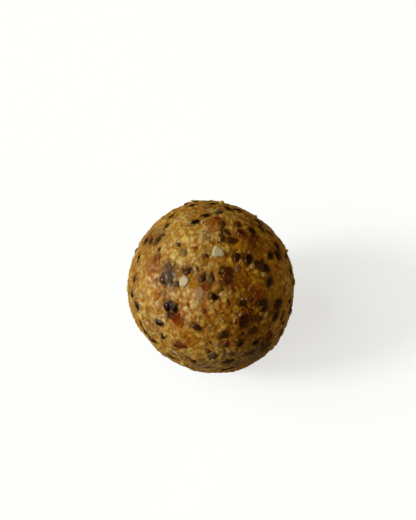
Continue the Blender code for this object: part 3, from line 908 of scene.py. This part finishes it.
def grain_colour(paste, paleness):
    """The colour of an oat or nut grain that lies in paste of this colour: yellower and lighter."""
    oiled = paste * 1.15 + Vector((0.01, 0.01, 0.0))
    lightened = Vector((0.25 + 1.2 * paste.x, 0.13 + 1.7 * paste.y, 0.01 + 3.0 * paste.z))
    palest = Vector(min(most, light) for most, light in zip(PALE_GRAIN, lightened))
    return oiled.lerp(palest, 0.80 * paleness)


crumb_draw = random.Random(51)
crumb_shape = coloured_shape("crumb")
for out in all_round(CRUMB_COUNT, crumb_draw, CRUMB_SCATTER):
    size = CRUMB_SIZE[0] + (CRUMB_SIZE[1] - CRUMB_SIZE[0]) * crumb_draw.random() ** 2
    length = size * CRUMB_LENGTH
    thickness = size * CRUMB_THICKNESS
    shows = crumb_draw.uniform(*CRUMB_SHOWS)
    paleness = crumb_draw.random()
    along = any_way_along(out, crumb_draw)
    if bare(out):
        crumb = coloured_shape("crumb")
        lump(crumb, 3, length, size, thickness, CRUMB_ROUGHNESS, CRUMB_PRESSED, crumb_draw)
        press_in(crumb, crumb.verts, out, along, thickness, shows)
        paste = stained(out)
        pale = grain_colour(paste, MOST_CRUMB_PALENESS * paleness)
        paint(crumb, crumb.verts, pale, paste * CRUMB_RIM, out, along, length, size, shows, CRUMB_FADE)
        join(crumb_shape, crumb)


def crumb_material():
    """Soft, oily crumbs: their own colour, with paler flour and darker oil."""
    crumb = Finish("oat_crumb")
    own = crumb.own("crumb", "Color")
    flour = crumb.grain(4200.0, 3.0)
    oil = crumb.grain(1500.0)
    light = crumb.blend(crumb.step(flour, 0.5, 0.75) * 0.3, own, PALE_GRAIN)
    dark = crumb.blend(crumb.step(oil, 0.5, 0.3) * 0.5, light, (0.75, 0.55, 0.30), "MULTIPLY")
    return crumb.close({
        "Base Color": dark,
        "Roughness": 0.45 + flour * 0.2,
        "Specular IOR Level": 0.07,
        "Normal": crumb.bump(flour + oil, 0.3, 0.06 * MM),
    }, coat=(crumb.step(oil, 0.68, 0.40) * 0.35, 0.16), depth=(0.5, (1.0, 0.45, 0.12), 0.7 * MM))


finished("oat_crumbs", crumb_shape, crumb_material())


# Husks and specks: slips of oat husk and specks of nut flour, paler than all round them. They lie flat in
# the paste, which holds them by its stickiness, whitish and a little see-through. Some of the small specks in
# view are painted highlights: pale marks put where glints show.
HUSK_THICKNESS = 0.30 * MM
HUSK_SHOWS = 0.06 * MM
HUSK_FORM = 0.85
HUSK_ROUGHNESS = 0.45
HUSK_PRESSED = 0.97
HUSK_FADE = 0.4
HIDDEN_HUSKS = 70
HIDDEN_HUSK_LENGTH = (0.5, 1.9)
HIDDEN_HUSK_WIDTH = 0.45
HUSK_COLOURS = ((0.60, 0.47, 0.30), (0.58, 0.41, 0.19), (0.44, 0.32, 0.19))

# Pixel across and down, turn, length and width in millimetres, and which of the colours; some small specks
# are painted highlights
SEEN_HUSKS_AND_GLINTS = (
    (188, 213, 40, 1.1, 0.45, 0), (202, 222, 85, 1.9, 0.6, 0), (219.5, 239, 88, 1.4, 0.4, 0),
    (202, 238, 10, 1.2, 0.6, 0), (191.5, 239, 88, 1.2, 0.35, 0), (175, 352.5, -42, 2.3, 0.9, 0),
    (194, 358, -27, 2.0, 0.6, 0), (221, 330, 5, 1.7, 0.6, 1), (234.5, 320, 75, 1.5, 0.7, 0),
    (196, 237.5, 0, 0.8, 0.7, 1), (205, 233, 0, 1.2, 1.0, 1), (218.5, 233, 0, 1.0, 0.9, 1),
    (152.5, 234, 0, 0.7, 0.5, 1), (247, 227.5, 0, 0.7, 0.6, 2), (246.5, 246, 0, 0.6, 0.5, 1),
    (249, 252.5, 0, 0.7, 0.6, 1), (271, 243.5, 30, 0.8, 0.6, 2), (221.5, 318.5, 0, 0.6, 0.5, 0),
    (237, 311.5, 0, 0.7, 0.6, 0), (218, 301.5, 0, 0.6, 0.6, 1), (242.5, 299, 0, 0.7, 0.6, 2),
    (265.5, 288.5, 0, 0.6, 0.5, 0), (277, 273, 20, 1.0, 0.7, 2), (220, 357.5, 0, 0.8, 0.6, 1),
    (219, 366, 0, 1.1, 0.5, 1), (242, 354, 40, 1.0, 0.9, 2), (147.5, 323, 80, 1.2, 1.0, 0),
    (198.5, 320, 80, 1.3, 0.8, 2), (240.3, 261, 75, 1.3, 0.45, 2), (222, 294.5, 80, 1.3, 1.1, 1),
    (166.5, 350, 0, 1.0, 0.8, 2), (217, 323, 0, 0.8, 0.6, 1), (210, 325, 20, 1.0, 0.7, 1),
    (185, 341, 60, 1.3, 0.7, 2), (157, 295, 0, 0.6, 0.4, 2), (249, 289, 70, 1.2, 0.8, 2),
    (243, 281, 0, 0.6, 0.5, 2), (254, 308, 0, 0.5, 0.5, 1), (270.5, 305, 80, 1.0, 0.6, 2),
    (246.5, 299, 0, 0.6, 0.5, 2), (212, 306, 60, 1.0, 0.5, 2), (173, 288, 0, 1.0, 0.7, 2),
    (196, 207, 20, 1.0, 0.6, 0), (209, 210, -10, 0.9, 0.6, 1), (222, 216, 30, 0.9, 0.6, 0),
    (231, 219, 60, 0.8, 0.6, 1),
)

husk_draw = random.Random(61)
husk_shape = coloured_shape("husk")


def add_husk(out, along, length, width, colour):
    """One slip or speck, lying in the skin. A speck may be a painted highlight."""
    sides = (length * HUSK_FORM, width * HUSK_FORM, HUSK_THICKNESS)
    husk = lump(husk_shape, 3, *sides, HUSK_ROUGHNESS, HUSK_PRESSED, husk_draw)
    press_in(husk_shape, husk, out, along, HUSK_THICKNESS, HUSK_SHOWS)
    paint(husk_shape, husk, colour, stained(out), out, along, length, width, HUSK_SHOWS, HUSK_FADE)


for out, along, length, width, number in seen_bits(SEEN_HUSKS_AND_GLINTS):
    add_husk(out, along, length * MM, width * MM, HUSK_COLOURS[number])
for out, along, length, colour in hidden_bits(
        HIDDEN_HUSKS, husk_draw, SCRAP_CLEARANCE, [], HIDDEN_HUSK_LENGTH, HUSK_COLOURS):
    if bare(out):
        add_husk(out, along, length, length * HIDDEN_HUSK_WIDTH, colour)


def husk_material():
    """Thin, pale husk: faint streaks of the paste under it, and a soft sheen."""
    husk = Finish("husk_and_glint_speck")
    own = husk.own("husk", "Color")
    streaks = husk.grain(3000.0, 3.0)
    stained_husk = husk.blend(husk.step(streaks, 0.5, 0.75) * 0.4, own, (0.45, 0.27, 0.07))
    return husk.close({
        "Base Color": stained_husk,
        "Roughness": 0.35 + streaks * 0.2,
        "Specular IOR Level": 0.15,
        "Normal": husk.bump(streaks, 0.4, 0.04 * MM),
    }, depth=(0.6, (1.0, 0.7, 0.4), 0.4 * MM))


finished("husks_and_glint_specks", husk_shape, husk_material())


# The dough itself: dates ground with oats and nuts to a coarse, sticky paste. Its skin is packed grains
# with dark gaps between them, torn in places, and it sinks a little round each bit that is set in it.
DOUGH_CUTS = 98
CLUMP_SIZE = 0.95 * MM
CLUMP_HEIGHT = 0.21 * MM
SEAM_DEPTH = 0.03 * MM
SEAM_WIDTH = 0.16
KNOT_HEIGHT = 0.11 * MM
CREASE_DEPTH = 0.06 * MM
CREASE_WIDTH = 0.06
TEAR_DEPTH = 0.25 * MM
SINK_DEPTH = 0.13 * MM
SOFT_SINK = 0.25
SEEN_TEARS = 0.2
HUE_SPREAD = 0.60
CLEFT_SHADE_COLOUR = (0.035, 0.008, 0.001)


def winding_line(place, fineness, shift, half_width):
    """Thin lines that wind over the skin: 1 along their middle, 0 away from it."""
    return max(0.0, 1 - abs(uneven(place, fineness, shift)) / half_width)


def clumps(place):
    """How high and pale the crumbled oats lie there, from about -0.5 to 0.5, and how deep a seam is, which is
    also painted dark as shade.
    """
    warped = place + (noise.noise_vector(place * 450) * 0.28 + noise.noise_vector(place * 1600) * 0.10) * MM
    highest = 0.0
    distances, middles = noise.voronoi(warped / CLUMP_SIZE)
    for away, middle in zip(distances, middles):
        own = 0.5 + 0.5 * noise.cell(middle * 5.17)
        swell = eased(1 - (away / (0.50 + 0.35 * own)) ** 2)
        highest = max(highest, swell * min(1.0, 0.3 + 1.4 * own))
    crumbled = 0.62 * (highest - 0.34) + 0.16 * uneven(warped, 430) + 0.36 * uneven(warped, 900)
    crumbled += 0.42 * uneven(place, 1700) + 0.26 * uneven(place, 3300)
    seam = winding_line(warped, 620, (5, 1, 8), SEAM_WIDTH)
    return crumbled, seam * clamped(0.6 + 2.0 * uneven(place, 500, (2, 6, 4)))


# Clefts that show in the skin, cut in and darkened with painted shade: the pixel each starts and ends at, and
# its half width in pixels
SEEN_CLEFTS = (
    (223, 226, 222.5, 236, 1.2), (218, 293, 224, 289.5, 1.0), (220, 273, 229, 275, 1.2),
    (213, 274, 213.5, 280, 1.5), (167, 303.5, 171, 302.5, 1.8), (175, 282, 179, 285, 1.5),
    (164, 283, 166, 285, 1.3), (183, 269, 185.5, 273, 1.3), (251.5, 298.5, 252, 301, 1.4),
    (255, 318.5, 261, 319, 1.6), (273, 320, 275.5, 321, 1.1), (283, 322.5, 283.8, 325, 0.9),
    (262.5, 340, 262, 346, 1.2), (257, 337.5, 263, 337.5, 1.0), (264, 350, 271, 350.5, 1.1),
    (208, 350, 208.5, 353, 1.2), (183, 358.8, 190, 358.2, 0.9), (193, 360, 195, 363, 1.6),
    (224, 346, 228, 347.5, 1.3), (153, 325.3, 154.2, 326.7, 1.0), (139, 322.5, 142, 329, 1.1),
    (142, 329, 147, 335.5, 1.1), (241, 335.5, 243, 334, 1.2), (280.6, 333, 279, 338, 0.9),
    (282.5, 328, 281.2, 332, 0.9), (290.7, 297, 291, 305, 0.8), (290.3, 267, 292.8, 275, 0.9),
    (259, 261, 261, 268, 1.6), (141, 308, 143, 310, 0.7), (236.5, 341, 239, 343, 1.2),
    (247, 272, 248.5, 276, 0.9), (218, 243, 223, 237, 1.0), (183, 250, 184.5, 255, 1.2),
    (210, 342, 213, 345, 1.0), (188, 304, 190, 307, 0.9), (197, 266, 199, 270, 0.9),
    (233, 288, 236, 291, 1.0), (228, 300, 230, 305, 1.0), (246, 306, 249, 309, 1.1),
)
CLEFT_DEPTH = 0.30 * MM
CLEFT_STEP = 0.7
CLEFT_REACH = 5.0 * PIXEL

clefts = []
for x, y, end_x, end_y, half_width in SEEN_CLEFTS:
    steps = max(1, round(math.hypot(end_x - x, end_y - y) / CLEFT_STEP))
    for step in range(steps + 1):
        part = step / steps
        out = seen_at(x + (end_x - x) * part, y + (end_y - y) * part)
        clefts.append((out, half_width * PIXEL))
cleft_tree = search_tree([out for out, half_width in clefts])


def cleft_at(out):
    """How deep in a cleft this place is, from 0 to 1."""
    deepest = 0.0
    ragged = 1 + 0.5 * uneven(out, 60.0)
    for middle, number, away in cleft_tree.find_range(out, CLEFT_REACH):
        half_width = clefts[number][1] * ragged
        deepest = max(deepest, math.exp(-((away / half_width) ** 2)))
    return deepest


dough_shape = bmesh.new()
bmesh.ops.create_icosphere(dough_shape, subdivisions=1, radius=1.0)
bmesh.ops.subdivide_edges(dough_shape, edges=dough_shape.edges[:], cuts=DOUGH_CUTS, use_grid_fill=True)
dough_colour = dough_shape.verts.layers.float_color.new("dough")
dough_seed_stain_and_shade = dough_shape.verts.layers.float.new("damp")
dough_top = dough_shape.verts.layers.float.new("top")
for vertex in dough_shape.verts:
    out = vertex.co.normalized()
    place = out * BALL_RADIUS
    crumbled, seam = clumps(place)
    knot = uneven(place, 330, (1, 5, 2)) + 0.5 * uneven(place, 800)
    crease = winding_line(place, 360, (3, 8, 1), CREASE_WIDTH)
    crease *= clamped(0.4 + 2.5 * uneven(place, 260, (6, 1, 4)))
    tear = clamped((uneven(place, 560, (7, 3, 1)) - 0.32) / 0.25)
    if out.angle(TO_CAMERA) < SEEN_ANGLE:
        tear *= SEEN_TEARS
    cleft = cleft_at(out)
    edge, kind, flesh = nearest_bit(out)
    near = eased((2.1 - edge) / 0.8)
    if kind == "soft":
        near *= SOFT_SINK
    radius = skin_radius(out) + KNOT_HEIGHT * knot + CLUMP_HEIGHT * crumbled - SEAM_DEPTH * seam
    radius -= TEAR_DEPTH * tear + CREASE_DEPTH * crease + SINK_DEPTH * near + CLEFT_DEPTH * cleft
    vertex.co = CENTRE + out * radius
    vertex.co.z = max(vertex.co.z, FLOOR_HEIGHT)

    rich = richness(out)
    colour = stained(out)
    # Grain tops paler and the gaps and seams between them darker: partly the grains' and the paste's own
    # colours, partly painted shade in the gaps, following the relief's height
    top = clamped(0.27 + 0.29 * rich + (0.37 + 1.50 * rich) * crumbled - 0.32 * seam)
    deep = clamped(0.65 + 0.30 * rich + 0.50 * uneven(place, 1300, (8, 8, 1)))
    paleness = clamped(0.17 + 0.52 * rich + 0.75 * uneven(place, 700, (9, 4, 9)))
    yellow = HUE_SPREAD * uneven(place, 520, (3, 7, 5))
    pale = grain_colour(colour, paleness) * Vector((1, 1 + 0.35 * yellow, 1 + 1.2 * yellow))
    dull = clamped((colour.z / colour.x - 0.12) / 0.3)
    syrup_and_gap_shade = colour * Vector((0.73 + 0.08 * rich, 0.46 + 0.2 * dull, 0.05 + 0.55 * dull))
    colour = colour.lerp(syrup_and_gap_shade, deep).lerp(pale, top)
    # Painted shade in the creases and tears
    colour *= 1 - 0.6 * max(crease * 0.5, tear)
    # Painted shade: the clefts are darkened nearly to black
    colour = colour.lerp(CLEFT_SHADE_COLOUR, 0.9 * cleft)
    if kind in ("fruit", "soft"):
        close = clamped((1.45 - edge) / 0.5) * (0.8 + 0.9 * uneven(place, 900))
        juice = clamped((2.3 - edge) / 1.2) * (0.6 + 0.6 * uneven(place, 700))
        colour = colour.lerp(Vector(flesh) * 1.15, clamped(max(0.75 * close, 0.45 * juice)))
    vertex[dough_colour] = (*colour, 1.0)
    # Darkness round the seeds: partly their juice, partly painted shade
    vertex[dough_seed_stain_and_shade] = near if kind == "seed" else 0.0
    vertex[dough_top] = clamped(0.15 + 0.85 * top - cleft - crease)


def dough_material():
    """Sticky paste: its own stained colour, with fine flour on it, and dark round the seeds: partly their
    juice in the dough, partly painted shade.
    """
    dough = Finish("dough")
    own = dough.own("dough", "Color")
    damp = dough.own("damp")
    flour = dough.grain(3400.0, 4.0, 0.6)
    oil = dough.grain(1100.0, 2.0)
    light = dough.blend(dough.step(flour, 0.56, 0.80) * 0.12, own, PALE_GRAIN)
    dark = dough.blend(dough.step(flour, 0.44, 0.26) * 0.22, light, (0.60, 0.42, 0.25), "MULTIPLY")
    juice = dough.own("top") * dough.step(oil, 0.68, 0.40) * 0.6
    # Painted shade round the seeds, together with the juice they leak
    bled_and_shaded = dough.blend(damp * 0.8, dark, (0.36, 0.24, 0.12), "MULTIPLY")
    return dough.close({
        "Base Color": bled_and_shaded,
        "Roughness": 0.45 + dough.step(oil, 0.35, 0.7) * 0.2,
        "Specular IOR Level": 0.07,
        "Normal": dough.bump(flour, 0.10, 0.08 * MM),
    }, coat=(juice, 0.16), depth=(0.5, (1.0, 0.4, 0.1), 0.6 * MM))


finished("dough", dough_shape, dough_material())


# The place where it is seen: a plain white surface and a pale room, lit softly from the left by a wide
# window, and a camera at the photograph's angle, over the front.
FLOOR_SIZE = 6.0
FLOOR_GAP = 0.05 * MM
ROOM_STRENGTH = 0.10
ROOM_COLOUR = (1.0, 0.73, 0.28)
SEEN_ROOM_COLOUR = (0.86, 0.87, 0.88)
FLOOR_GLOW = 0.66


def surface_material():
    """A plain white surface, very slightly uneven in tone."""
    surface = Finish("white_surface")
    clouds = surface.grain(9.0)
    return surface.close({
        "Base Color": surface.blend(clouds * 0.5, (0.60, 0.61, 0.62), (0.57, 0.58, 0.59)),
        "Roughness": 0.9,
        "Emission Color": (0.97, 0.985, 1.0, 1.0),
        "Emission Strength": FLOOR_GLOW,
    })


floor_shape = bmesh.new()
bmesh.ops.create_grid(floor_shape, x_segments=2, y_segments=2, size=FLOOR_SIZE / 2)
bmesh.ops.translate(floor_shape, verts=floor_shape.verts, vec=(0, 0, FLOOR_HEIGHT - FLOOR_GAP))
floor_mesh = bpy.data.meshes.new("surface")
floor_shape.to_mesh(floor_mesh)
floor_shape.free()
floor_mesh.materials.append(surface_material())
surface = bpy.data.objects.new("surface", floor_mesh)
bpy.context.scene.collection.objects.link(surface)
surface.visible_diffuse = False
surface.visible_glossy = False
surface.visible_shadow = False


def lamp(name, strength, width, colour, way, shines=True):
    """A soft, far light from this way. Where it doesn't shine, it makes no glints."""
    light = bpy.data.lights.new(name, "SUN")
    light.energy = strength
    light.angle = math.radians(width)
    light.color = colour
    placed = bpy.data.objects.new(name, light)
    placed.rotation_euler = Vector(way).to_track_quat("Z", "Y").to_euler()
    placed.visible_glossy = shines
    bpy.context.scene.collection.objects.link(placed)


lamp("window", 1.54, 70.0, (0.94, 1.0, 0.98), (-0.85, -0.18, 0.50))
lamp("window_glare", 1.45, 16.0, (0.95, 1.0, 0.97), (-0.85, -0.18, 0.50))
lamp("card", 0.36, 35.0, (0.94, 0.91, 0.62), (0.75, 0.62, 0.18), shines=False)
lamp("bounce", 0.24, 80.0, (0.86, 0.84, 0.72), (0.12, -0.75, -0.65), shines=False)
lamp("wall", 0.30, 70.0, (0.93, 0.80, 0.33), (0.93, -0.30, 0.20))

room = bpy.data.worlds.new("room")
room.use_nodes = True
air_nodes = room.node_tree.nodes
join_nodes = room.node_tree.links.new
room_air = air_nodes["Background"]
room_air.inputs["Color"].default_value = (*ROOM_COLOUR, 1.0)
room_air.inputs["Strength"].default_value = ROOM_STRENGTH
seen_air = air_nodes.new("ShaderNodeBackground")
seen_air.inputs["Color"].default_value = (*SEEN_ROOM_COLOUR, 1.0)
either_air = air_nodes.new("ShaderNodeMixShader")
join_nodes(air_nodes.new("ShaderNodeLightPath").outputs["Is Camera Ray"], either_air.inputs["Fac"])
join_nodes(room_air.outputs["Background"], either_air.inputs[1])
join_nodes(seen_air.outputs["Background"], either_air.inputs[2])
join_nodes(either_air.outputs["Shader"], air_nodes["World Output"].inputs["Surface"])
bpy.context.scene.world = room

view = bpy.context.scene.view_settings
view.view_transform = "Standard"
view.look = "None"
view.exposure = 0.0
view.gamma = 1.0

SENSOR = 36.0
lens = bpy.data.cameras.new("photo_camera")
lens.sensor_width = SENSOR
lens.lens = SENSOR * PHOTO_FOCAL_LENGTH / PHOTO_HEIGHT
lens.shift_x = (PHOTO_WIDTH / 2 - PHOTO_BALL_X) / PHOTO_HEIGHT
lens.shift_y = (PHOTO_BALL_Y - PHOTO_HEIGHT / 2) / PHOTO_HEIGHT
lens.clip_start = 10 * MM
lens.clip_end = 20.0
lens.dof.use_dof = False
camera = bpy.data.objects.new("photo_camera", lens)
camera.location = CENTRE + TO_CAMERA * VIEW_DISTANCE
camera.rotation_euler = TO_CAMERA.to_track_quat("Z", "Y").to_euler()
bpy.context.scene.collection.objects.link(camera)
bpy.context.scene.camera = camera
